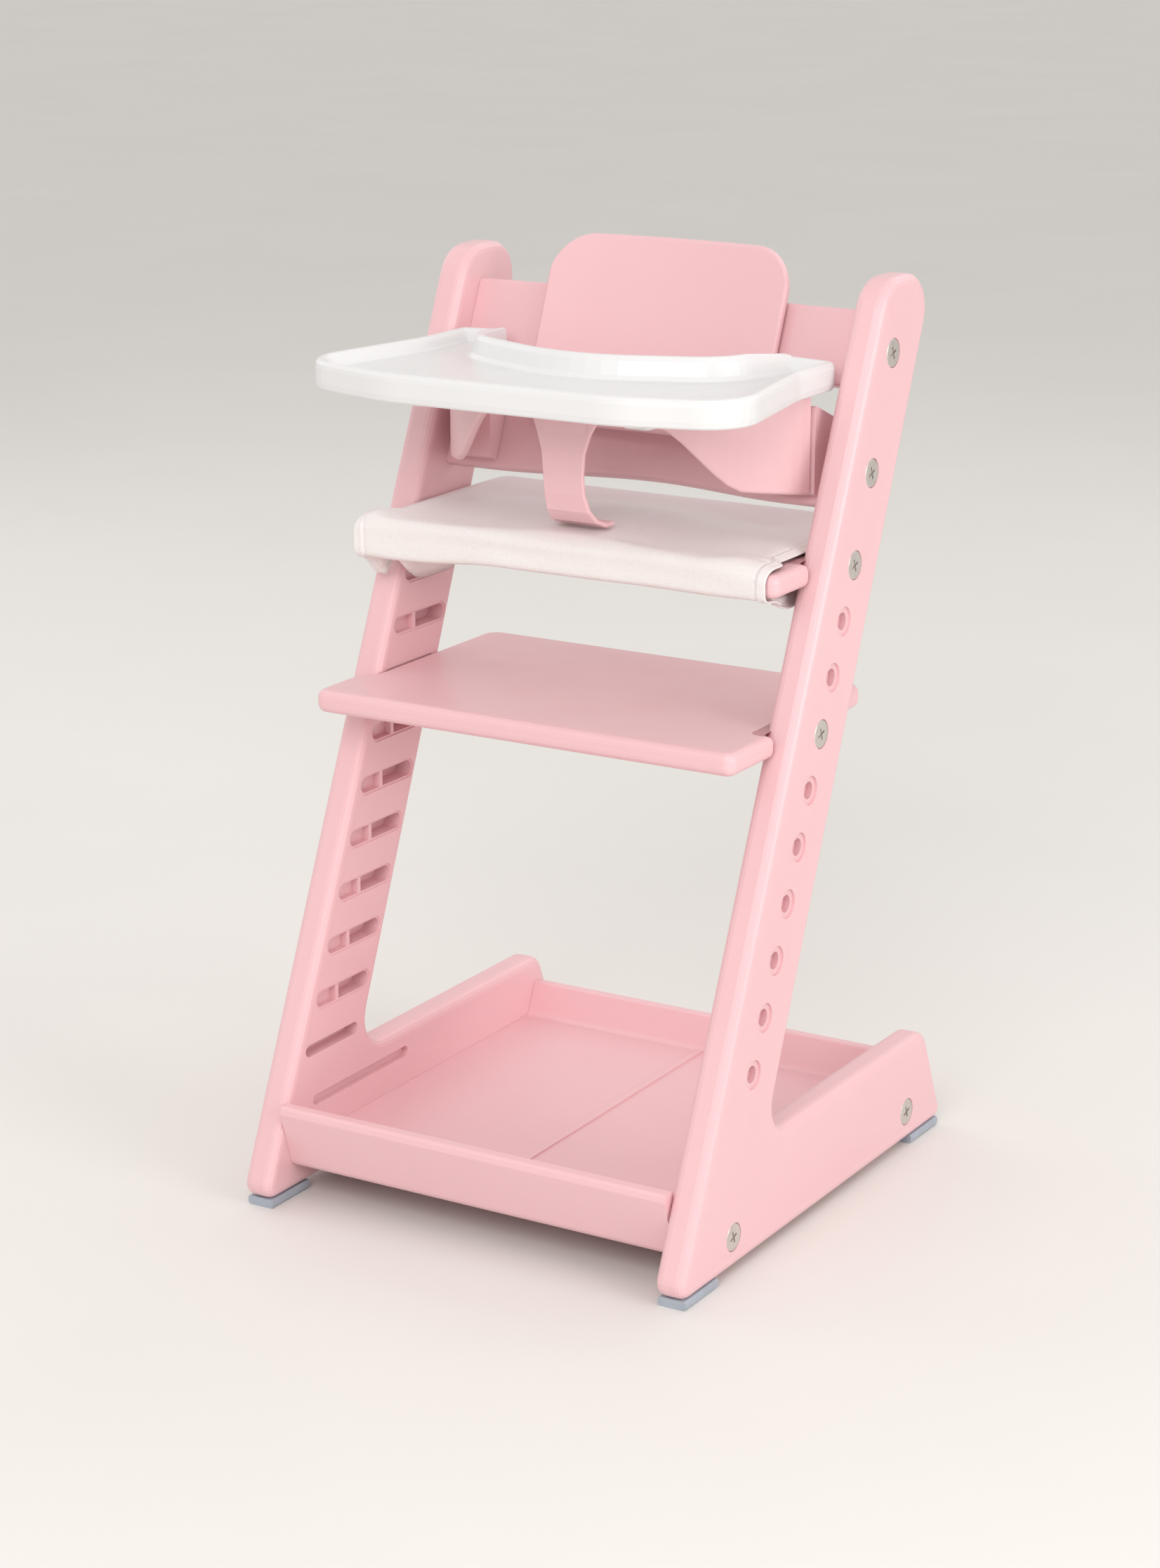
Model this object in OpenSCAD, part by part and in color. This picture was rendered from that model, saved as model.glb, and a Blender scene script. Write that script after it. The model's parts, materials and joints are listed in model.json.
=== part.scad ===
// Growing high chair for a baby: two leaning side panels joined by rails, boards and a floor tray,
// with a removable front guard and a slide-on play tray.
// Frame: +Z up, the chair faces -Y, X = 0 is the plane of symmetry, Z = 0 is the floor.

/* [Overall] */
// Outside width across the two side panels
chair_w = 440; // [436:1:444]
// Height of the side panels above the floor
chair_h = 800; // [794:1:806]

/* [Side panels] */
// Thickness of a side panel
panel_t = 28; // [26:0.5:30]
// Radius of the rounded long edges of a side panel
panel_edge = 8; // [5:0.5:9]
// Height of the rear leg's top edge above the floor
leg_h = 103; // [100:1:106]

/* [Height adjustment] */
// Number of height positions
positions = 10; // [8:1:10]
// Vertical distance between two height positions
hole_step = 44.3; // [43.6:0.1:44.6]
// Height of the top position above the floor
hole_top = 568.3; // [567:0.1:569]
// Position of the footrest, counted down from the seat
footrest_pos = 3; // [3:1:3]

/* [Boards] */
// Thickness of the seat and footrest boards
board_t = 20; // [18:0.5:22]
// Half width of a board in front of the side panels
board_front_half = 205; // [200:0.5:208]

/* [Tray] */
// Height of the play tray's underside above the floor
tray_z = 709; // [708:0.5:711]
// Half width of the play tray at its front corners
tray_half = 207; // [200:0.5:210]
// Height of the play tray's outer rim
tray_rim = 24; // [20:0.5:26]

/* [Seat cover] */
// Thickness of the padded top of the seat cover
pad_t = 13; // [10:0.5:15]
// Thickness of the leatherette where it wraps the front edge
cover_t = 4; // [3:0.5:5]

/* [Hidden] */

PINK = [0.973, 0.784, 0.808];
WHITE = [0.95, 0.95, 0.955];
HIDE = [0.92, 0.89, 0.886];
STEEL = [0.81, 0.776, 0.757];
BRASS = [0.78, 0.66, 0.4];
RUBBER = [0.663, 0.694, 0.737];

half_w = chair_w / 2;
inner = half_w - panel_t;
foot_h = 8;
gap = 0.2;

// Front and back edges of the leaning upright, as Y at height z
function front_y(z) = -254 + 0.432 * z;
function back_y(z) = -143 + 0.41 * z;
function mid_y(z) = (front_y(z) + back_y(z)) / 2;
lean = atan(0.421);

function hole_z(k) = hole_top - k * hole_step;
seat_z = hole_z(0);
step_z = hole_z(footrest_pos);

// Bolt positions of the fixed cross members, as [Y, Z]
upper_bolt = [104, 737.7];
lower_bolt = [69, 641.6];
base_front = [-158, 36];
base_rear = [171, 36];

head_r = 12.3;
sleeve_r = 7.4;
shank_r = 3.1;
insert_r = 5;
insert_len = 32;

// ---------- outlines ----------
// A corner is [x, y, radius]; an outline runs counter-clockwise.
function unit(v) = v / norm(v);
function left_of(v) = [-v[1], v[0]];
function xy(p) = [p[0], p[1]];
function dir_in(c, i) = unit(xy(c[i]) - xy(c[(i + len(c) - 1) % len(c)]));
function dir_out(c, i) = unit(xy(c[(i + 1) % len(c)]) - xy(c[i]));

// Points of one rounded corner after the outline moves inward by d
function corner_arc(c, i, d, n) =
    let (u = dir_in(c, i), v = dir_out(c, i), turn = cross(u, v) > 0 ? 1 : -1,
         nu = left_of(u), nv = left_of(v),
         q = xy(c[i]) + (nu + nv) * d / (1 + nu * nv),
         r = turn > 0 ? max(c[i][2] - d, 0.3) : c[i][2] + d,
         bend = acos(max(-1, min(1, u * v))),
         start = q - u * r * tan(bend / 2),
         centre = start + nu * r * turn,
         a0 = atan2(-nu[1] * turn, -nu[0] * turn))
    [for (j = [0:n]) centre + r * [cos(a0 + turn * bend * j / n), sin(a0 + turn * bend * j / n)]];

function outline(c, d = 0, n = 6) = [for (i = [0:len(c) - 1]) each corner_arc(c, i, d, n)];

// Quads between rings of the same number of points, with flat caps
module skin(rings) {
    m = len(rings[0]);
    last = len(rings) - 1;
    polyhedron(
        points = [for (r = rings) each r],
        faces = concat(
            [[for (j = [0:m - 1]) j]],
            [[for (j = [0:m - 1]) last * m + m - 1 - j]],
            [for (k = [0:last - 1], j = [0:m - 1])
                [k * m + j, (k + 1) * m + j, (k + 1) * m + (j + 1) % m, k * m + (j + 1) % m]]),
        convexity = 8);
}

// Triangles that fill the strip between two chains of point numbers, a and b, from one end to the other
function turn_of(p, q, r) = cross(xy(q) - xy(p), xy(r) - xy(p));

function lace(pts, a, b, i = 0, j = 0) =
    i == len(a) - 1 && j == len(b) - 1 ? [] :
    let (p = pts[a[i]], q = pts[b[j]],
         along_a = i < len(a) - 1 && turn_of(p, pts[a[i + 1]], q) > 0,
         along_b = j < len(b) - 1 && turn_of(p, pts[b[j + 1]], q) > 0,
         first = along_a && (!along_b || norm(pts[a[i + 1]] - q) < norm(pts[b[j + 1]] - p)))
    first ? concat([[a[i], a[i + 1], b[j]]], lace(pts, a, b, i + 1, j))
          : concat([[a[i], b[j + 1], b[j]]], lace(pts, a, b, i, j + 1));

// Skin for an outline with inner corners: its flat ends are laced between the first k points and the rest
module laced_skin(rings, k) {
    m = len(rings[0]);
    last = len(rings) - 1;
    a = [for (i = [0:k - 1]) i];
    b = [for (i = [m - 1:-1:k]) i];
    polyhedron(
        points = [for (r = rings) each r],
        faces = concat(
            lace(rings[0], a, b),
            [for (f = lace(rings[last], a, b)) [last * m + f[2], last * m + f[1], last * m + f[0]]],
            [for (k = [0:last - 1], j = [0:m - 1])
                [k * m + j, (k + 1) * m + j, (k + 1) * m + (j + 1) % m, k * m + (j + 1) % m]]),
        convexity = 8);
}

// Ring of an outline at inset d and height z
function ring(c, d, z, n) = [for (p = outline(c, d, n)) [p[0], p[1], z]];

// Plate with a rounded edge all round: outline c, thickness t, edge radius e.
// The first `side` corners lie on one side of the strip, the others on the other side.
module soft_plate(c, side, t, e, n = 6, steps = 4) {
    rise = [for (j = [0:steps]) [e * (1 - sin(90 * j / steps)), e * (1 - cos(90 * j / steps))]];
    low = [for (p = rise) ring(c, p[0], p[1], n)];
    high = [for (j = [steps:-1:0]) ring(c, rise[j][0], t - rise[j][1], n)];
    laced_skin(concat(low, high), side * (n + 1));
}

// Mirrored copy as well
module both() {
    children();
    mirror([1, 0, 0]) children();
}

// Slot with round ends along X, centred
module stadium(length, width) {
    square([length - width, width], center = true);
    for (s = [-1, 1]) translate([s * (length - width) / 2, 0]) circle(d = width, $fn = 32);
}

// ---------- side panels ----------
panel_outline = [
    [front_y(chair_h), chair_h, 36],
    [front_y(foot_h), foot_h, 13],
    [249.2, foot_h, 10],
    [208, leg_h, 18],
    [back_y(leg_h), leg_h, 26],
    [back_y(chair_h), chair_h, 32]];

// Stands a shape drawn in X, Y up in the Y, Z plane, with its thickness along +X
module stand() {
    rotate([90, 0, 90]) children();
}

slot_len = 83;
slot_h = 18;
slot_rim = 2;

// Pocket on the inner face: shallow rim, shallow front pocket, rib, deep rear pocket at the bolt hole
module board_slot() {
    stand() translate([1.5, 0, 0]) {
        translate([0, 0, -1]) linear_extrude(2.2) stadium(slot_len, slot_h);
        pocket(8, -slot_len / 2, 31);
        pocket(17, -6, slot_len / 2 + 6);
    }
}

// Part of the slot from x0 on, w long and d deep
module pocket(d, x0, w) {
    linear_extrude(d) intersection() {
        stadium(slot_len - 2 * slot_rim, slot_h - 2 * slot_rim);
        translate([x0, -slot_h / 2]) square([w, slot_h]);
    }
}

// Bolt hole through the panel: head recess, sleeve bore and clearance bore, from the outer face
module bolt_hole() {
    rotate([0, 90, 0]) {
        translate([0, 0, panel_t - 2]) cylinder(r = head_r + 0.3, h = 3, $fn = 48);
        translate([0, 0, panel_t - 8]) cylinder(r = sleeve_r + 0.1, h = 9, $fn = 48);
        translate([0, 0, -1]) cylinder(r = shank_r + 0.1, h = panel_t + 2, $fn = 32);
    }
}

foot_spots = [-210, 212];

module side_panel() {
    translate([inner, 0, 0]) difference() {
        stand() soft_plate(panel_outline, 3, panel_t, panel_edge);
        for (k = [0:positions - 1]) translate([0, mid_y(hole_z(k)), hole_z(k)]) {
            board_slot();
            bolt_hole();
        }
        for (p = [upper_bolt, lower_bolt, base_front, base_rear]) translate([0, p[0], p[1]]) bolt_hole();
        translate([-1, mid_y(128), 128]) stand() linear_extrude(15) stadium(80, 11);
        translate([-1, -100, 80]) stand() linear_extrude(7) stadium(150, 10);
        for (y = foot_spots) translate([panel_t / 2, y, foot_h - 1]) cylinder(r = 4.05, h = 11, $fn = 32);
    }
}

module side_panel_right() {
    color(PINK) side_panel();
}

module side_panel_left() {
    color(PINK) mirror([1, 0, 0]) side_panel();
}

// ---------- feet ----------
module foot(y) {
    color(RUBBER) translate([inner + panel_t / 2, y, 0]) {
        rotate([90, 0, 0]) translate([0, 0, -28]) linear_extrude(56)
            polygon([[-11, 0], [11, 0], [13, 2], [13, foot_h - 1.5], [11.5, foot_h], [-11.5, foot_h],
                     [-13, foot_h - 1.5], [-13, 2]]);
        cylinder(r = 4, h = foot_h + 9, $fn = 32);
    }
}

module foot_front_right() {
    foot(foot_spots[0]);
}

module foot_front_left() {
    mirror([1, 0, 0]) foot(foot_spots[0]);
}

module foot_rear_right() {
    foot(foot_spots[1]);
}

module foot_rear_left() {
    mirror([1, 0, 0]) foot(foot_spots[1]);
}

// ---------- base tray ----------
base_profile = [
    [-188, 45, 4], [-196, 28, 8], [-210, 33, 10], [-225, 84, 3], [-224, 91, 3.5], [-212, 91, 3],
    [-199, 49, 8], [184, 49, 8], [197, 79, 3], [209, 79, 3], [197, 45, 8]];

module base_tray() {
    len_x = 2 * inner - 2 * gap;
    color(PINK) difference() {
        union() {
            translate([-len_x / 2, 0, 0]) stand() linear_extrude(len_x) polygon(
                outline([for (i = [len(base_profile) - 1:-1:0]) base_profile[i]], 0, 6));
            for (s = [-1, 1], y = [base_front[0], base_rear[0]])
                translate([s * (len_x / 2 - 20), y, 36]) cube([40, 30, 19], center = true);
            for (y = [-100, -30, 40, 110]) translate([0, y, 42]) cube([len_x, 4, 8], center = true);
            translate([0, -4, 49]) cube([7, 372, 3], center = true);
        }
        both() for (p = [base_front, base_rear]) translate([inner - insert_len - 1, p[0], p[1]])
            rotate([0, 90, 0]) cylinder(r = insert_r + 0.05, h = insert_len + 2, $fn = 32);
    }
}

// ---------- boards ----------
// Outline of a board: wide nose in front of the uprights, narrow body between them
function board_outline(z, y_front, y_rear) =
    let (w = inner - gap, step = front_y(z - board_t / 2) - 0.8, b = board_front_half)
    [[-b, step, 2.5], [-b, y_front, 10], [b, y_front, 10], [b, step, 2.5],
     [w, step, 1], [w, y_rear, 16], [-w, y_rear, 16], [-w, step, 1]];

module board(z, y_front, y_rear) {
    color(PINK) difference() {
        translate([0, 0, z - board_t / 2]) soft_plate(board_outline(z, y_front, y_rear), 4, board_t, 7);
        both() translate([inner - insert_len - 1, mid_y(z), z]) rotate([0, 90, 0])
            cylinder(r = insert_r + 0.05, h = insert_len + 2, $fn = 32);
    }
}

module footrest_board() {
    board(step_z, -143, 122);
}

seat_front = -72;
seat_rear = 126;

module seat_board() {
    board(seat_z, seat_front, seat_rear);
}

// Padded leatherette sleeve: thick pad over the top, thin skin round the front and underneath
module seat_cover() {
    t = cover_t;
    top = seat_z + board_t / 2;
    low = seat_z - board_t / 2;
    g = 0.3;
    half = inner - 2.5;
    color(HIDE) translate([-half, 0, 0]) stand() linear_extrude(2 * half) difference() {
        polygon(outline([[seat_front - t, low - t, 9], [-8, low - t, 1.2], [-8, low - g, 1.2],
                         [seat_front + 4, low - g, 1.2], [seat_rear + 4, top + g, 1.5],
                         [seat_rear + 4, top + pad_t, 6], [seat_front - t, top + pad_t, 11]], 0, 6));
        polygon([[seat_front - g, low - g], [seat_rear + 10, low - g], [seat_rear + 10, top + g],
                 [seat_front - g, top + g]]);
    }
}

// ---------- back rails and backrest ----------
// Rounded rectangle in Y, Z: centre, thickness t, height h, edge radius e, leaning back
function slat_ring(x, y, z, t, h, e, a) =
    [for (c = [[1, 1, 0], [-1, 1, 90], [-1, -1, 180], [1, -1, 270]], j = [0:4])
        let (p = [c[0] * (t / 2 - e) + e * cos(c[2] + 22.5 * j),
                  c[1] * (h / 2 - e) + e * sin(c[2] + 22.5 * j)])
        [x, y + p[0] * cos(a) + p[1] * sin(a), z + p[1] * cos(a) - p[0] * sin(a)]];

rail_t = 15;
rail_h = 67;
rail_bow = 25;

// How far the rails bow backwards at distance x from the middle; their ends are straight
function bow(x) = rail_bow * (1 + cos(180 * min(1, abs(x) / 150))) / 2;

module back_rail(p) {
    w = inner - gap;
    xs = concat([-w], [for (i = [0:22]) -154 + 14 * i], [w]);
    color(PINK) difference() {
        skin([for (x = xs) slat_ring(x, p[0] + bow(x), p[1], rail_t, rail_h, 4, lean)]);
        both() translate([inner - insert_len - 1, p[0], p[1]]) rotate([0, 90, 0])
            cylinder(r = insert_r + 0.05, h = insert_len + 2, $fn = 32);
    }
}

module back_rail_upper() {
    back_rail(upper_bolt);
}

module back_rail_lower() {
    back_rail(lower_bolt);
}

back_half = 118;
back_top = 815;
back_low = 655;
back_t = 9;
back_lean = atan(0.4);
back_corner = 38;

// Height lost at the round corners of the backrest, at distance x from the middle
function corner_drop(x, r) = let (d = max(0, abs(x) - (back_half - r))) r - sqrt(max(0, r * r - d * d));

// Y of the backrest's middle surface: it hollows towards the child
function back_mid_y(x, z) = 102 + (z - 735) * tan(back_lean) - 12 * pow(x / back_half, 2);

module backrest_panel() {
    n = 32;
    color(PINK) skin([for (i = [0:n])
        let (a = -90 + 180 * i / n, x = (back_half - 0.01) * sin(a),
             top = back_top - corner_drop(x, back_corner), low = back_low + corner_drop(x, 24),
             t = back_t * (abs(x) > back_half - 3 ? max(0.25, sqrt(1 - pow((abs(x) - back_half + 3) / 3, 2))) : 1),
             z = (top + low) / 2)
        slat_ring(x, back_mid_y(x, z), z, t, (top - low) / cos(back_lean), t * 0.45, back_lean)]);
}

module backrest_hooks() {
    color(PINK) for (x = [-60, 60]) translate([x, 0, 0]) {
        backrest_hook();
        backrest_stop();
    }
}

// Block behind the backrest's lower edge that leans on the lower rail
module backrest_stop() {
    translate([-8, lower_bolt[0] + bow(60), lower_bolt[1]]) rotate([-lean, 0, 0])
        translate([0, -17, 12]) cube([16, 7.2, 19]);
}

// Hook behind the backrest that sits over the top edge of the upper rail
module backrest_hook() {
    y_rail = upper_bolt[0] + bow(60);
    translate([-8, y_rail, upper_bolt[1]]) rotate([-lean, 0, 0]) stand() linear_extrude(16)
        polygon([[-13.8, 12], [-9.8, 12], [-9.8, rail_h / 2 + 1.2], [9.7, rail_h / 2 + 1.2], [9.7, 12],
                 [14, 12], [14, rail_h / 2 + 6], [-13.8, rail_h / 2 + 6]]);
}

// ---------- front guard ----------
guard_a = 178;
guard_b = 134;
guard_y0 = 60;
guard_bend = 1.212;
guard_t = 8;
guard_top = 708;

// Middle line of the guard seen from above, at angle a from the front
function guard_line(a) = [
    guard_a * sign(a) * pow(abs(sin(a)), guard_bend),
    guard_y0 - guard_b * pow(cos(a), guard_bend)];

// Lower edge of the guard at angle a: shallow bow in front, deep wings
function guard_low(a) =
    let (u = max(0, min(1, (abs(a) - 28) / 28)))
    690 - 60 * u * u * (3 - 2 * u) - 0.3 * max(0, abs(a) - 56);

function guard_section(a) =
    let (low = guard_low(a), c = guard_line(a), v = unit(guard_line(a + 0.5) - guard_line(a - 0.5)),
         nrm = [v[1], -v[0]], h = guard_top - low)
    [for (k = [[1, 1, 0], [-1, 1, 90], [-1, -1, 180], [1, -1, 270]], j = [0:3])
        let (e = 2.8, p = k[0] * (guard_t / 2 - e) + e * cos(k[2] + 30 * j),
             q = k[1] * (h / 2 - e) + e * sin(k[2] + 30 * j))
        [c[0] + nrm[0] * p, c[1] + nrm[1] * p, (guard_top + low) / 2 + q]];

module guard_rail() {
    color(PINK) difference() {
        skin([for (a = [-78:4:78]) guard_section(a)]);
        both() rivet_hole();
    }
}

// Clip behind each wing that hooks over the lower back rail
module guard_clip() {
    translate([140, lower_bolt[0] + 1, lower_bolt[1]]) rotate([-lean, 0, 0]) stand() linear_extrude(40)
        polygon(outline([[-19.7, -27, 2], [-8.9, -27, 2], [-8.9, 34.6, 1], [7.2, 34.6, 1],
                         [7.2, 20, 1], [12.2, 20, 2], [12.2, 42, 3], [-48.8, 42, 2]], 0, 4));
}

module guard_clip_right() {
    color(PINK) guard_clip();
}

module guard_clip_left() {
    color(PINK) mirror([1, 0, 0]) guard_clip();
}

// Crotch strap: flared head under the guard, narrow neck, foot curling back over the seat
strap_path = [[-65.4, 702], [-65.4, 690], [-64.5, 676], [-65.5, 660], [-65.5, 642], [-63.5, 625],
              [-57.5, 610], [-48, 600], [-36, 595], [-24, 594.6]];
strap_half = [36, 33, 26, 21, 19.5, 19.5, 21, 23, 25, 25];

function strap_dir(i) = unit(strap_path[min(i + 1, len(strap_path) - 1)] - strap_path[max(i - 1, 0)]);

// How far the strap's sides curl back along the inside of the guard
function strap_curl(i) = i == 0 ? 4.6 : i == 1 ? 3.4 : 0;

function strap_ring(i) =
    let (p = strap_path[i], w = strap_half[i], v = strap_dir(i), nrm = [-v[1], v[0]], t = 2)
    [for (c = [[w - 1, -t], [w, -t + 1], [w, t - 1], [w - 1, t], [0.75 * w, t], [w / 2, t],
               [-w / 2, t], [-0.75 * w, t], [-w + 1, t], [-w, t - 1], [-w, -t + 1], [-w + 1, -t],
               [-0.75 * w, -t], [-w / 2, -t], [w / 2, -t], [0.75 * w, -t]])
        let (q = c[1] + strap_curl(i) * pow(max(0, 2 * abs(c[0]) / w - 1), 1.3))
        [c[0], p[0] + nrm[0] * q, p[1] + nrm[1] * q]];

module crotch_strap() {
    color(PINK) difference() {
        skin([for (i = [0:len(strap_path) - 1]) strap_ring(i)]);
        both() rivet_hole();
    }
}

// Hole for a strap rivet, through the strap and into the guard
module rivet_hole() {
    translate([14, -60, 697]) rotate([90, 0, 0]) cylinder(r = 2.05, h = 15, $fn = 24);
}

module strap_rivets() {
    color(STEEL) both() translate([14, -63.3, 697]) rotate([90, 0, 0]) {
        cylinder(r = 2, h = 10.4, $fn = 24);
        translate([0, 0, -1.2]) cylinder(r = 4, h = 1.2, $fn = 24);
    }
}

// ---------- play tray ----------
arm_out = inner - 6;
arm_in = 138;
tray_outline = [
    [-arm_out, 70, 9], [-arm_out, 0, 60], [-tray_half - 6, -146, 46], [-110, -177, 130],
    [110, -177, 130], [tray_half + 6, -146, 46], [arm_out, 0, 60], [arm_out, 70, 9],
    [arm_in, 70, 9], [118, -8, 50], [0, -56, 140], [-118, -8, 50], [-arm_in, 70, 9]];

// Extra height of the wall on the child's side
function wall_lift(p) = let (u = max(0, min(1, (150 - abs(p[0])) / 24))) p[1] > -100 ? 9 * u * u * (3 - 2 * u) : 0;

function tray_ring(d, z, k) = [for (p = outline(tray_outline, d, 8)) [p[0], p[1], z + k * wall_lift(p)]];

module play_tray() {
    floor_z = tray_z + 13;
    top = tray_z + tray_rim;
    color(WHITE) laced_skin([
        tray_ring(8, floor_z - 4, 0), tray_ring(5, tray_z + 1, 0),
        tray_ring(4, tray_z, 0), tray_ring(2.5, tray_z, 0), tray_ring(1, tray_z + 1.5, 0),
        tray_ring(0, tray_z + 6, 0.2), tray_ring(0, top - 6, 0.9), tray_ring(0.6, top - 3, 1),
        tray_ring(2.2, top - 0.8, 1), tray_ring(4.5, top, 1), tray_ring(7, top - 0.6, 1),
        tray_ring(9.5, top - 3, 0.85), tray_ring(13, floor_z + 2.5, 0.2),
        tray_ring(15.5, floor_z + 0.6, 0), tray_ring(18, floor_z, 0)], 72);
}

// Sliding latch tab under the play tray
module tray_latch() {
    translate([108, -98, tray_z - 9.4]) soft_plate([[-13, 26, 3], [-13, -36, 5], [13, -36, 5], [13, 26, 3]], 2, 9, 2, 4, 2);
}

module tray_latch_right() {
    color(WHITE) tray_latch();
}

module tray_latch_left() {
    color(WHITE) mirror([1, 0, 0]) tray_latch();
}

// ---------- bolts and inserts ----------
// Sleeve bolt on the right side: recessed head with a cross, sleeve in the panel, shank in the insert
module bolt(p) {
    translate([inner, p[0], p[1]]) rotate([0, 90, 0]) difference() {
        union() {
            translate([0, 0, panel_t - 1.95]) cylinder(r = head_r, h = 1.2, $fn = 48);
            translate([0, 0, panel_t - 0.75]) cylinder(r1 = head_r, r2 = head_r - 1, h = 0.65, $fn = 48);
            translate([0, 0, panel_t - 7.95]) cylinder(r = sleeve_r, h = 6.2, $fn = 48);
            translate([0, 0, -24]) cylinder(r = shank_r, h = 24 + panel_t - 7, $fn = 32);
        }
        for (a = [0, 90]) rotate([0, 0, a + 20]) translate([0, 0, panel_t]) cube([11, 2, 3.6], center = true);
    }
}

module bolt_pair(p) {
    color(STEEL) both() bolt(p);
}

module seat_bolts() {
    bolt_pair([mid_y(seat_z), seat_z]);
}

module footrest_bolts() {
    bolt_pair([mid_y(step_z), step_z]);
}

module upper_rail_bolts() {
    bolt_pair(upper_bolt);
}

module lower_rail_bolts() {
    bolt_pair(lower_bolt);
}

module base_bolts() {
    bolt_pair(base_front);
    bolt_pair(base_rear);
}

// Threaded sleeve let into the end of a board or rail
module insert(p) {
    translate([inner - insert_len - 0.9, p[0], p[1]]) rotate([0, 90, 0]) difference() {
        cylinder(r = insert_r, h = insert_len, $fn = 32);
        translate([0, 0, -1]) cylinder(r = shank_r + 0.05, h = insert_len + 2, $fn = 32);
    }
}

module board_inserts() {
    color(BRASS) both() {
        insert([mid_y(seat_z), seat_z]);
        insert([mid_y(step_z), step_z]);
    }
}

module rail_inserts() {
    color(BRASS) both() {
        insert(upper_bolt);
        insert(lower_bolt);
    }
}

module base_inserts() {
    color(BRASS) both() {
        insert(base_front);
        insert(base_rear);
    }
}

side_panel_right();
side_panel_left();
base_tray();
footrest_board();
seat_board();
seat_cover();
back_rail_upper();
back_rail_lower();
backrest_panel();
backrest_hooks();
guard_rail();
guard_clip_right();
guard_clip_left();
crotch_strap();
strap_rivets();
play_tray();
tray_latch_right();
tray_latch_left();
foot_front_right();
foot_front_left();
foot_rear_right();
foot_rear_left();
seat_bolts();
footrest_bolts();
upper_rail_bolts();
lower_rail_bolts();
base_bolts();
board_inserts();
rail_inserts();
base_inserts();
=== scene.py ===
import json
import math

import bmesh
import bpy
import numpy as np
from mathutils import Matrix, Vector, noise


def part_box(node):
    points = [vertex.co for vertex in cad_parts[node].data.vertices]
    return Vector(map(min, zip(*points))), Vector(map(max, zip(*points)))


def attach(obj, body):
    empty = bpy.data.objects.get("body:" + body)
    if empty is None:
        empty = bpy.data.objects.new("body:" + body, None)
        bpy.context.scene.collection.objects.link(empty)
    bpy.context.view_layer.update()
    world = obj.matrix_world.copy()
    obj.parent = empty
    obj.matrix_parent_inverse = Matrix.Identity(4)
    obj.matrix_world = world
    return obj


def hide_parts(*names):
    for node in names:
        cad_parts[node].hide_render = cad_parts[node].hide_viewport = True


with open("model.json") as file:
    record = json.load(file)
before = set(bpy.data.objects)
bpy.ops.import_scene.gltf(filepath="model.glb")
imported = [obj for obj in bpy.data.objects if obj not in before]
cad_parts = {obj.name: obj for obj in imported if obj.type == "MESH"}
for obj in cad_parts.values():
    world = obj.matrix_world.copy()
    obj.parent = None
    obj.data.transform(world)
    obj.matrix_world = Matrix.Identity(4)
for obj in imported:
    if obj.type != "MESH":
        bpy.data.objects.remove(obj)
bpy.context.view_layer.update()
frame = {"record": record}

# pink of the moulded parts, and the slightly lighter pink that it drifts to
PINK = (0.780, 0.480, 0.512)
PINK_LIGHT = (0.795, 0.502, 0.534)


# ---------- node helpers ----------
def new_material(name):
    m = bpy.data.materials.new(name)
    m.use_nodes = True
    nt = m.node_tree
    nt.nodes.clear()
    out = nt.nodes.new("ShaderNodeOutputMaterial")
    bsdf = nt.nodes.new("ShaderNodeBsdfPrincipled")
    nt.links.new(bsdf.outputs["BSDF"], out.inputs["Surface"])
    return m, nt, bsdf


def add(nt, kind, **values):
    n = nt.nodes.new(kind)
    for key, value in values.items():
        setattr(n, key, value)
    return n


def noise_node(nt, coord, scale, detail=4.0, rough=0.55):
    n = add(nt, "ShaderNodeTexNoise")
    n.inputs["Scale"].default_value = scale
    n.inputs["Detail"].default_value = detail
    n.inputs["Roughness"].default_value = rough
    nt.links.new(coord, n.inputs["Vector"])
    return n


def ramp(nt, fac, stops):
    r = add(nt, "ShaderNodeValToRGB")
    els = r.color_ramp.elements
    while len(els) < len(stops):
        els.new(0.5)
    for e, (p, c) in zip(els, stops):
        e.position = p
        e.color = (*c, 1.0) if len(c) == 3 else c
    nt.links.new(fac, r.inputs["Fac"])
    return r


def grey(v):
    return (v, v, v)


def bump(nt, height, strength, distance, normal=None):
    b = add(nt, "ShaderNodeBump")
    b.inputs["Strength"].default_value = strength
    b.inputs["Distance"].default_value = distance
    nt.links.new(height, b.inputs["Height"])
    if normal is not None:
        nt.links.new(normal, b.inputs["Normal"])
    return b


def edge_highlight_mask(nt, low=0.52, high=0.60):
    """Mask for a painted highlight: bright on sharp outer edges, from the mesh's own curvature."""
    g = add(nt, "ShaderNodeNewGeometry")
    return ramp(nt, g.outputs["Pointiness"], [(low, grey(0)), (high, grey(1))])


def mix_rgb(nt, fac, a, b, mode="MIX"):
    m = add(nt, "ShaderNodeMix", data_type="RGBA", blend_type=mode)
    for sock, value in ((m.inputs[0], fac), (m.inputs[6], a), (m.inputs[7], b)):
        if isinstance(value, bpy.types.NodeSocket):
            nt.links.new(value, sock)
        elif isinstance(value, tuple):
            sock.default_value = (*value, 1.0)
        else:
            sock.default_value = value
    return m.outputs[2]


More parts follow.
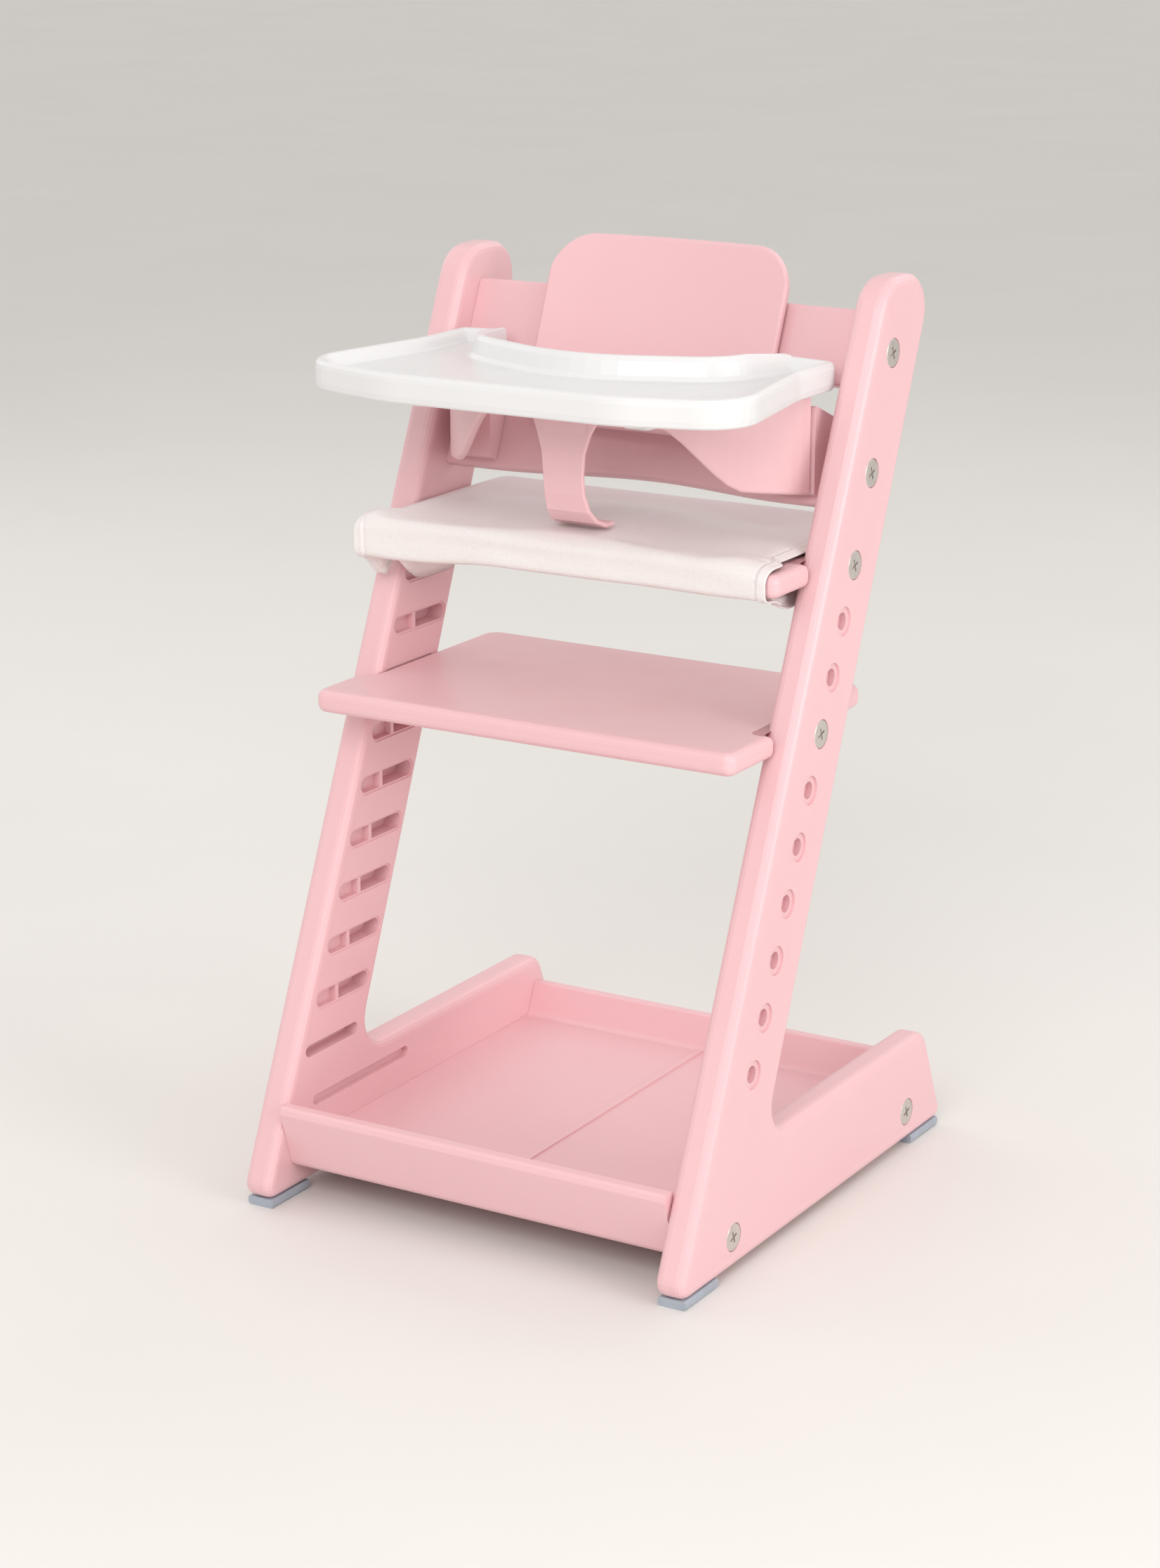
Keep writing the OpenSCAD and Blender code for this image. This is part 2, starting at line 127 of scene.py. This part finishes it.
def moulded_plastic(name, base, tint, rough, grain, grain_scale, coat=0.0, edge=0.25, sink=0.10):
    """Injection-moulded plastic: faint colour drift, fine spark-eroded grain, and a painted highlight in a
    lighter colour on sharp edges.
    """
    m, nt, bsdf = new_material(name)
    co = add(nt, "ShaderNodeTexCoord").outputs["Object"]
    drift = noise_node(nt, co, 5.0, 3.0)
    col = ramp(nt, drift.outputs["Fac"], [(0.3, base), (0.7, tint)])
    # lighter colour of the painted highlight on sharp edges
    highlight_colour = tuple(min(1.0, c * 1.08 + 0.03) for c in base)
    highlight_fac = edge_highlight_mask(nt)
    fac = add(nt, "ShaderNodeMath", operation="MULTIPLY")
    nt.links.new(highlight_fac.outputs["Color"], fac.inputs[0])
    # edge sets how strongly the painted edge highlight shows
    fac.inputs[1].default_value = edge
    nt.links.new(mix_rgb(nt, fac.outputs[0], col.outputs["Color"], highlight_colour), bsdf.inputs["Base Color"])
    fine = noise_node(nt, co, grain_scale, 2.0)
    cloudy = noise_node(nt, co, 22.0, 4.0)
    r = ramp(nt, cloudy.outputs["Fac"], [(0.3, grey(rough - 0.05)), (0.75, grey(rough + 0.06))])
    nt.links.new(r.outputs["Color"], bsdf.inputs["Roughness"])
    wave = noise_node(nt, co, 9.0, 2.0)
    b1 = bump(nt, wave.outputs["Fac"], sink, 0.002)
    b2 = bump(nt, fine.outputs["Fac"], grain, 0.0003, b1.outputs["Normal"])
    nt.links.new(b2.outputs["Normal"], bsdf.inputs["Normal"])
    bsdf.inputs["IOR"].default_value = 1.47
    bsdf.inputs["Coat Weight"].default_value = coat
    bsdf.inputs["Coat Roughness"].default_value = 0.25
    bsdf.inputs["Subsurface Weight"].default_value = 0.06
    bsdf.inputs["Subsurface Radius"].default_value = (0.004, 0.002, 0.002)
    bsdf.inputs["Subsurface Scale"].default_value = 0.5
    return m


def nickel(name):
    """Satin nickel with a cloudy finish and fine pits."""
    m, nt, bsdf = new_material(name)
    co = add(nt, "ShaderNodeTexCoord").outputs["Object"]
    cloudy = noise_node(nt, co, 90.0, 5.0)
    col = ramp(nt, cloudy.outputs["Fac"], [(0.25, (0.60, 0.56, 0.53)), (0.75, (0.70, 0.66, 0.63))])
    nt.links.new(col.outputs["Color"], bsdf.inputs["Base Color"])
    r = ramp(nt, cloudy.outputs["Fac"], [(0.25, grey(0.30)), (0.8, grey(0.46))])
    nt.links.new(r.outputs["Color"], bsdf.inputs["Roughness"])
    fine = noise_node(nt, co, 2600.0, 2.0)
    b = bump(nt, fine.outputs["Fac"], 0.25, 0.0002)
    nt.links.new(b.outputs["Normal"], bsdf.inputs["Normal"])
    bsdf.inputs["Metallic"].default_value = 0.85
    return m


def rubber(name):
    """Matt grey-blue rubber."""
    m, nt, bsdf = new_material(name)
    co = add(nt, "ShaderNodeTexCoord").outputs["Object"]
    cloudy = noise_node(nt, co, 40.0, 5.0)
    col = ramp(nt, cloudy.outputs["Fac"], [(0.3, (0.33, 0.37, 0.43)), (0.7, (0.40, 0.44, 0.50))])
    nt.links.new(col.outputs["Color"], bsdf.inputs["Base Color"])
    r = ramp(nt, cloudy.outputs["Fac"], [(0.3, grey(0.55)), (0.7, grey(0.72))])
    nt.links.new(r.outputs["Color"], bsdf.inputs["Roughness"])
    fine = noise_node(nt, co, 1500.0, 2.0)
    b = bump(nt, fine.outputs["Fac"], 0.3, 0.0003)
    nt.links.new(b.outputs["Normal"], bsdf.inputs["Normal"])
    bsdf.inputs["IOR"].default_value = 1.45
    return m


def leatherette(name):
    """Off-white coated cloth: tiny pebbled grain with shallow pores."""
    m, nt, bsdf = new_material(name)
    co = add(nt, "ShaderNodeTexCoord").outputs["Object"]
    drift = noise_node(nt, co, 7.0, 4.0)
    col = ramp(nt, drift.outputs["Fac"], [(0.3, (0.79, 0.745, 0.735)), (0.7, (0.84, 0.80, 0.79))])
    pebble = add(nt, "ShaderNodeTexVoronoi", feature="SMOOTH_F1")
    pebble.inputs["Scale"].default_value = 950.0
    nt.links.new(co, pebble.inputs["Vector"])
    pores = ramp(nt, pebble.outputs["Distance"], [(0.25, grey(1.0)), (0.75, grey(0.93))])
    nt.links.new(mix_rgb(nt, 1.0, col.outputs["Color"], pores.outputs["Color"], "MULTIPLY"),
                 bsdf.inputs["Base Color"])
    r = ramp(nt, drift.outputs["Fac"], [(0.3, grey(0.36)), (0.7, grey(0.48))])
    nt.links.new(r.outputs["Color"], bsdf.inputs["Roughness"])
    fold = noise_node(nt, co, 26.0, 3.0)
    b1 = bump(nt, fold.outputs["Fac"], 0.22, 0.0016)
    b2 = bump(nt, pebble.outputs["Distance"], 0.22, 0.0003, b1.outputs["Normal"])
    nt.links.new(b2.outputs["Normal"], bsdf.inputs["Normal"])
    bsdf.inputs["IOR"].default_value = 1.48
    bsdf.inputs["Sheen Weight"].default_value = 0.08
    bsdf.inputs["Sheen Roughness"].default_value = 0.4
    return m


def brass(name):
    """Machined brass."""
    m, nt, bsdf = new_material(name)
    co = add(nt, "ShaderNodeTexCoord").outputs["Object"]
    cloudy = noise_node(nt, co, 120.0, 4.0)
    col = ramp(nt, cloudy.outputs["Fac"], [(0.3, (0.60, 0.44, 0.20)), (0.7, (0.72, 0.55, 0.28))])
    nt.links.new(col.outputs["Color"], bsdf.inputs["Base Color"])
    r = ramp(nt, cloudy.outputs["Fac"], [(0.3, grey(0.28)), (0.7, grey(0.42))])
    nt.links.new(r.outputs["Color"], bsdf.inputs["Roughness"])
    bsdf.inputs["Metallic"].default_value = 1.0
    return m


MATS = {
    "pink_plastic": moulded_plastic("pink_plastic_look", PINK, PINK_LIGHT, 0.36, 0.28, 1400.0, 0.12),
    "tray_plastic": moulded_plastic("tray_plastic_look", (0.72, 0.72, 0.727), (0.75, 0.75, 0.757),
                                    0.36, 0.05, 1700.0, 0.12, sink=0.02),
    "bolt_steel": nickel("bolt_steel_look"),
    "foot_rubber": rubber("foot_rubber_look"),
    "seat_leatherette": leatherette("seat_leatherette_look"),
    "insert_brass": brass("insert_brass_look"),
}

for sub in frame["record"]["subparts"]:
    o = bpy.data.objects.get(sub["node"])
    if o is None:
        continue
    look = MATS[sub["material_slot"]]
    if o.material_slots:
        for s in o.material_slots:
            s.material = look
    else:
        o.data.materials.append(look)


# ---------- seat cover ----------
SEAT_LO, SEAT_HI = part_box("seat_cover")
NOSE_Y = SEAT_LO.y
BACK_Y = SEAT_HI.y - 0.0012
TOP_Z = SEAT_HI.z
LOW_Z = SEAT_LO.z + 0.0008
SPAN = SEAT_HI.x
LOOP = 132          # points round the board in the cloth run
FINER = 3           # times as many in the finished skin
STRAP_Y = -0.036    # middle of the crotch strap's foot
PANEL_FRONT = -0.034
SKIN = 0.0016
SWELL_CAP = 0.0040
HEM = 0.0092
GROOVE = 0.0105
PUCKER_STEP = 0.0115
STITCH_LINE = 0.0068
STITCH_STEP = 0.0042
STITCH_LENGTH = 0.0031
STITCH_RADIUS = 0.00042


def smooth(t):
    t = np.clip(t, 0.0, 1.0)
    return t * t * (3 - 2 * t)


def cover_section(n):
    """Loop of n evenly spaced (y, z) points round the board, and its length: rear, top, nose, underside."""
    half = (TOP_Z - LOW_Z) / 2
    mid = (TOP_Z + LOW_Z) / 2
    pts = []
    for k in range(7):
        a = math.radians(-90 + 15 * k)
        pts.append((BACK_Y - 0.006 + 0.006 * math.cos(a), LOW_Z + 0.006 + 0.006 * math.sin(a)))
    for k in range(9):
        a = math.radians(11.25 * k)
        pts.append((BACK_Y - 0.010 + 0.010 * math.cos(a), TOP_Z - 0.010 + 0.010 * math.sin(a)))
    for k in range(25):
        a = math.radians(90 + 7.5 * k)
        # round above the middle, squarer below it, where the board's edge is near
        e = 1.0 if k <= 12 else 0.45
        rise = math.copysign(abs(math.sin(a)) ** e, math.sin(a))
        pts.append((NOSE_Y + half - half * abs(math.cos(a)) ** e, mid + half * rise))
    pts = np.array(pts)
    closed = np.vstack([pts, pts[:1]])
    run = np.concatenate([[0], np.cumsum(np.linalg.norm(np.diff(closed, axis=0), axis=1))])
    want = np.linspace(0, run[-1], n, endpoint=False)
    return np.column_stack([np.interp(want, run, closed[:, 0]), np.interp(want, run, closed[:, 1])]), run[-1]


def cover_grid(us, n):
    """Base shape of the sleeve over us, 0 left to 1 right, by n points round the board; and the loop's length."""
    yz, length = cover_section(n)
    y, z = yz[:, 0], yz[:, 1]
    nose = smooth((PANEL_FRONT - y) / 0.014)
    right = SPAN + 0.0078 * nose
    left = -SPAN - 0.0169 * nose
    out = np.zeros((len(us), n, 3))
    for i, u in enumerate(us):
        x = left + (right - left) * u
        gap_l, gap_r = x - left, right - x
        up = np.clip((z - LOW_Z) / (TOP_Z - LOW_Z), 0, 1) ** 2
        pinch = (0.0088 * np.clip(1 - gap_l / 0.020, 0, 1) ** 2.2
                 + 0.0098 * np.clip(1 - gap_r / 0.046, 0, 1) ** 2.2)
        zz = z - pinch * up
        # the strap presses the padding down a little
        zz = zz - 0.0016 * up * np.exp(-((x / 0.045) ** 2 + ((y - STRAP_Y) / 0.026) ** 2))
        # slack of the underside at the left front, hanging in two folds
        under = smooth((LOW_Z + 0.010 - z) / 0.010) * smooth((y - NOSE_Y) / 0.030)
        along = smooth((0.075 - y) / 0.060)
        fold = (smooth((-0.189 - x) / 0.010) + 0.90 * np.clip(1 - np.abs(x + 0.170) / 0.013, 0, 1) ** 1.3
                + 0.12 * smooth((-0.120 - x) / 0.045))
        zz = zz - 0.033 * np.clip(fold, 0, 1.0) * under * along * (0.12 + 0.88 * smooth((y + 0.070) / 0.050))
        # a smaller hanging tail at the right end
        tail = smooth((x - 0.170) / 0.018) * smooth((0.030 - y) / 0.030) * smooth((y + 0.066) / 0.050)
        zz = zz - 0.015 * tail * under
        # the nose sinks gently towards the left end
        low = smooth((TOP_Z - 0.012 - z) / 0.020) * smooth((-0.020 - y) / 0.030)
        zz = zz - 0.0055 * low * smooth((-0.060 - x) / 0.090)
        out[i, :, 0] = x
        out[i, :, 1] = y
        out[i, :, 2] = zz
    return out, length


def grid_mesh(name, pts):
    """Open sleeve mesh of a grid of points, closed round its second axis."""
    m, n = pts.shape[:2]
    me = bpy.data.meshes.new(name)
    faces = [(i * n + j, (i + 1) * n + j, (i + 1) * n + (j + 1) % n, i * n + (j + 1) % n)
             for i in range(m - 1) for j in range(n)]
    me.from_pydata(pts.reshape(-1, 3).tolist(), [], faces)
    me.update()
    return me


def grid_normals(pts):
    """Outward unit normals of the sleeve's points."""
    du = np.gradient(pts, axis=0)
    dv = (np.roll(pts, -1, axis=1) - np.roll(pts, 1, axis=1)) / 2
    nrm = np.cross(dv, du)
    nrm /= np.maximum(np.linalg.norm(nrm, axis=2, keepdims=True), 1e-9)
    centre = np.array([0.0, (NOSE_Y + BACK_Y) / 2, (TOP_Z + LOW_Z) / 2])
    if np.sum(nrm * (pts - centre)) < 0:
        nrm = -nrm
    return nrm


def puffed(base):
    """Moves of a short cloth run: the padding swells, held at the rims, strap, underside and rear."""
    me = grid_mesh("cover_sim", base)
    o = bpy.data.objects.new("cover_sim", me)
    bpy.context.collection.objects.link(o)
    hold = o.vertex_groups.new(name="hold")
    m, n = base.shape[:2]
    for k, (x, y, z) in enumerate(base.reshape(-1, 3)):
        edge = 1.0 if k // n in (0, m - 1) else 0.0
        strap = math.exp(-((x / 0.034) ** 2 + ((y - STRAP_Y) / 0.020) ** 2)) if z > 0.575 else 0.0
        below = 1.0 if z < LOW_Z + 0.004 and x > -0.110 else 0.0
        rear = min(1.0, max(0.0, (y - BACK_Y + 0.020) / 0.010))
        w = max(edge, strap, below, rear)
        if w > 0.02:
            hold.add([k], min(1.0, w), "REPLACE")
    mod = o.modifiers.new("cloth", "CLOTH")
    c = mod.settings
    c.quality = 6
    c.mass = 0.35
    c.tension_stiffness = 12
    c.compression_stiffness = 12
    c.shear_stiffness = 6
    c.bending_stiffness = 1.2
    c.use_pressure = True
    c.uniform_pressure_force = 1.3
    c.vertex_group_mass = "hold"
    c.effector_weights.gravity = 0
    mod.point_cache.frame_start = 1
    mod.point_cache.frame_end = 20
    scene = bpy.context.scene
    for f in range(1, 21):
        scene.frame_set(f)
    seen = o.evaluated_get(bpy.context.evaluated_depsgraph_get()).to_mesh()
    co = np.zeros(m * n * 3)
    seen.vertices.foreach_get("co", co)
    scene.frame_set(1)
    bpy.data.objects.remove(o)
    bpy.data.meshes.remove(me)
    move = co.reshape(m, n, 3) - base
    size = np.linalg.norm(move, axis=2, keepdims=True)
    return move * np.minimum(1.0, SWELL_CAP / np.maximum(size, 1e-9))


def spaced(near, far, mid_count):
    """Fractions 0 to 1 along the seat, close together by both hems."""
    edge = np.arange(0, near, far)
    return np.concatenate([edge, np.linspace(near, 1 - near, mid_count), 1 - edge[::-1]])


def finer_moves(move, coarse, us, n):
    """The cloth run's moves, smoothed and read at the finished skin's points."""
    for _ in range(2):
        inner = (move[:-2] + 2 * move[1:-1] + move[2:]) / 4
        move[1:-1] = inner
        move = (np.roll(move, 1, 1) + 2 * move + np.roll(move, -1, 1)) / 4
    row = np.empty((len(us), LOOP, 3))
    for j in range(LOOP):
        for k in range(3):
            row[:, j, k] = np.interp(us, coarse, move[:, j, k])
    where = np.arange(n) / n * LOOP
    a = np.floor(where).astype(int)
    t = (where - a)[None, :, None]
    return row[:, a % LOOP] * (1 - t) + row[:, (a + 1) % LOOP] * t


def hem_relief(d, length):
    """Height of the folded hem, the groove inside it and the puckers, at distance d from the nearer rim."""
    relief = 0.0009 * smooth((HEM - d) / 0.0009) * smooth((d + 0.0004) / 0.0012)
    relief -= 0.0007 * np.exp(-(((d - GROOVE) / 0.0009) ** 2))
    n = d.shape[1]
    s = np.arange(n) / n * length
    wave = np.sin(s * 2 * math.pi / PUCKER_STEP)[None, :]
    pucker = wave * np.exp(-(np.maximum(d - 0.011, 0) / 0.007)) * (d > GROOVE)
    return relief + 0.00022 * pucker


def crease_relief(pts):
    """Height of broad soft undulation, and of lengthwise wrinkles low on the front."""
    crease = np.zeros(pts.shape[:2])
    for i in range(pts.shape[0]):
        for j in range(pts.shape[1]):
            x, y, z = pts[i, j]
            front = max(0.0, min(1.0, (-0.035 - y) / 0.02)) * max(0.0, min(1.0, (0.5840 - z) / 0.012))
            broad = noise.noise(Vector((x * 9.0, y * 16.0, z * 16.0)))
            fine = noise.noise(Vector((x * 13.0 + 4.0, j * 0.11, 2.0)))
            crease[i, j] = 0.0007 * broad + 0.0009 * front * fine
    return crease


def outward_mesh(name, pts, nrm):
    """Sleeve mesh whose faces point the way nrm does."""
    me = grid_mesh(name, pts)
    i, j = pts.shape[0] // 2, pts.shape[1] // 3
    bm = bmesh.new()
    bm.from_mesh(me)
    bm.faces.ensure_lookup_table()
    if bm.faces[i * pts.shape[1] + j].normal.dot(Vector(nrm[i, j])) < 0:
        bmesh.ops.reverse_faces(bm, faces=bm.faces)
    bm.to_mesh(me)
    bm.free()
    for f in me.polygons:
        f.use_smooth = True
    return me


def seat_cover():
    coarse = np.linspace(0, 1, 84)
    base, _ = cover_grid(coarse, LOOP)
    move = puffed(base)
    us = spaced(0.045, 0.0020, 112)
    n = LOOP * FINER
    pts, length = cover_grid(us, n)
    pts = pts + finer_moves(move, coarse, us, n)
    # the rear face stays clear of the board's rear edge
    rear = pts[:, :, 1] > BACK_Y - 0.004
    pts[:, :, 1] = np.where(rear, np.maximum(pts[:, :, 1], BACK_Y - 0.0004), pts[:, :, 1])
    nrm = grid_normals(pts)
    d_left = np.linalg.norm(pts - pts[:1], axis=2)
    d_right = np.linalg.norm(pts - pts[-1:], axis=2)
    d = np.minimum(d_left, d_right)
    fade = smooth((d - 0.011) / 0.02)
    flat_top = 1 - np.exp(-((pts[:, :, 0] / 0.040) ** 2 + ((pts[:, :, 1] - STRAP_Y) / 0.022) ** 2))
    height = hem_relief(d, length) + crease_relief(pts) * fade * flat_top
    pts = pts + nrm * height[:, :, None]
    me = outward_mesh("seat_cover_skin", pts, nrm)
    o = bpy.data.objects.new("seat_cover_skin", me)
    bpy.context.collection.objects.link(o)
    shell = o.modifiers.new("cloth_thickness", "SOLIDIFY")
    shell.thickness = SKIN
    shell.offset = -1.0
    me.materials.append(MATS["seat_leatherette"])
    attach(o, "frame")
    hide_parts("seat_cover")
    stitches(pts, nrm, (d_left, d_right))


def thread(name):
    """Twisted off-white sewing thread."""
    m, nt, bsdf = new_material(name)
    co = add(nt, "ShaderNodeTexCoord").outputs["Object"]
    ply = noise_node(nt, co, 2400.0, 2.0)
    col = ramp(nt, ply.outputs["Fac"], [(0.3, (0.70, 0.655, 0.645)), (0.7, (0.83, 0.79, 0.78))])
    nt.links.new(col.outputs["Color"], bsdf.inputs["Base Color"])
    bsdf.inputs["Roughness"].default_value = 0.6
    return m


def point_at(run, points, at):
    """Point at distance at of a polyline whose running lengths are run."""
    return np.array([np.interp(at, run, points[:, k]) for k in range(3)])


def stitch_rings(run, path, out, start, rings=7, sides=6):
    """Rings of one rounded stitch that starts at distance start and sinks in at both ends."""
    found = []
    for f in np.linspace(0, 1, rings):
        at = start + f * STITCH_LENGTH
        c = point_at(run, path, at)
        up = point_at(run, out, at)
        up /= np.linalg.norm(up)
        ahead = point_at(run, path, at + 0.0004) - c
        ahead /= max(np.linalg.norm(ahead), 1e-9)
        side = np.cross(up, ahead)
        rise = 0.00022 * math.sin(math.pi * f) - 0.00010
        r = STITCH_RADIUS * (0.35 + 0.65 * math.sin(math.pi * f))
        found.append([c + up * rise + r * (side * math.cos(t) + up * math.sin(t))
                      for t in np.linspace(0, 2 * math.pi, sides + 1)[:-1]])
    return found


def stitches(pts, nrm, rim_distances):
    """Thread lines on both hems, each of short separate stitches."""
    verts, faces = [], []
    n = pts.shape[1]
    for dist in rim_distances:
        rows = [int(np.argmin(np.abs(dist[:, j] - STITCH_LINE))) for j in range(n)]
        path = np.array([pts[i, j] for j, i in enumerate(rows)])
        out = np.array([nrm[i, j] for j, i in enumerate(rows)])
        path = (np.roll(path, 1, 0) + path * 2 + np.roll(path, -1, 0)) / 4
        run = np.concatenate([[0], np.cumsum(np.linalg.norm(np.diff(path, axis=0), axis=1))])
        for start in np.arange(0.002, run[-1] - 0.004, STITCH_STEP):
            rings = stitch_rings(run, path, out, start)
            sides, last = len(rings[0]), len(rings) - 1
            b = len(verts)
            verts += [tuple(v) for ring in rings for v in ring]
            for a in range(last):
                for t in range(sides):
                    u = (t + 1) % sides
                    lo, hi = b + a * sides, b + (a + 1) * sides
                    faces.append((lo + t, lo + u, hi + u, hi + t))
            faces.append(tuple(b + t for t in range(sides - 1, -1, -1)))
            faces.append(tuple(b + last * sides + t for t in range(sides)))
    me = bpy.data.meshes.new("seat_cover_stitches")
    me.from_pydata(verts, [], faces)
    me.update()
    for f in me.polygons:
        f.use_smooth = True
    o = bpy.data.objects.new("seat_cover_stitches", me)
    bpy.context.collection.objects.link(o)
    me.materials.append(thread("thread_look"))
    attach(o, "frame")


seat_cover()


# ---------- stage ----------
def make_floor():
    bm = bmesh.new()
    bmesh.ops.create_grid(bm, x_segments=2, y_segments=2, size=30.0)
    me = bpy.data.meshes.new("floor")
    bm.to_mesh(me)
    bm.free()
    o = bpy.data.objects.new("floor", me)
    bpy.context.collection.objects.link(o)
    m, nt, bsdf = new_material("floor_look")
    co = add(nt, "ShaderNodeTexCoord").outputs["Object"]
    n = noise_node(nt, co, 2.0, 3.0)
    col = ramp(nt, n.outputs["Fac"], [(0.3, (0.76, 0.745, 0.72)), (0.7, (0.78, 0.765, 0.74))])
    nt.links.new(col.outputs["Color"], bsdf.inputs["Base Color"])
    bsdf.inputs["Roughness"].default_value = 0.6
    me.materials.append(m)


def area_light(name, at, aim, size, power, color=(1, 1, 1)):
    lamp = bpy.data.lights.new(name, "AREA")
    lamp.shape = "RECTANGLE"
    lamp.size, lamp.size_y = size
    lamp.energy = power
    lamp.color = color
    o = bpy.data.objects.new(name, lamp)
    bpy.context.collection.objects.link(o)
    o.location = at
    o.rotation_euler = (Vector(aim) - Vector(at)).to_track_quat("-Z", "Y").to_euler()


def make_light():
    w = bpy.data.worlds.new("studio")
    bpy.context.scene.world = w
    w.use_nodes = True
    w.node_tree.nodes["Background"].inputs["Color"].default_value = (1.0, 0.975, 0.95, 1)
    w.node_tree.nodes["Background"].inputs["Strength"].default_value = 0.76
    centre = (0, 0, 0.45)
    area_light("window", (-2.6, 0.4, 2.2), centre, (2.6, 2.4), 17, (1.0, 0.98, 0.96))
    area_light("key", (1.0, -3.0, 2.3), centre, (1.8, 1.6), 51, (1.0, 0.98, 0.96))
    area_light("side", (3.2, -0.5, 1.3), centre, (1.8, 1.6), 38, (1.0, 0.98, 0.96))
    area_light("back", (0.5, 2.8, 2.4), centre, (2.6, 1.8), 12, (1.0, 0.98, 0.96))


def make_camera():
    cam = bpy.data.cameras.new("camera")
    o = bpy.data.objects.new("camera", cam)
    bpy.context.collection.objects.link(o)
    o.location = (1.48783, -2.52901, 1.20866)
    a, e = 0.5385398, 0.2829061
    back = Vector((math.sin(a) * math.cos(e), -math.cos(a) * math.cos(e), math.sin(e)))
    o.rotation_euler = back.to_track_quat("Z", "Y").to_euler()
    cam.sensor_fit = "VERTICAL"
    cam.sensor_height = 36.0
    cam.lens = 4985.86 / 2233 * 36.0
    cam.clip_end = 100
    bpy.context.scene.camera = o


make_floor()
make_light()
make_camera()
bpy.context.scene.view_settings.view_transform = "Standard"
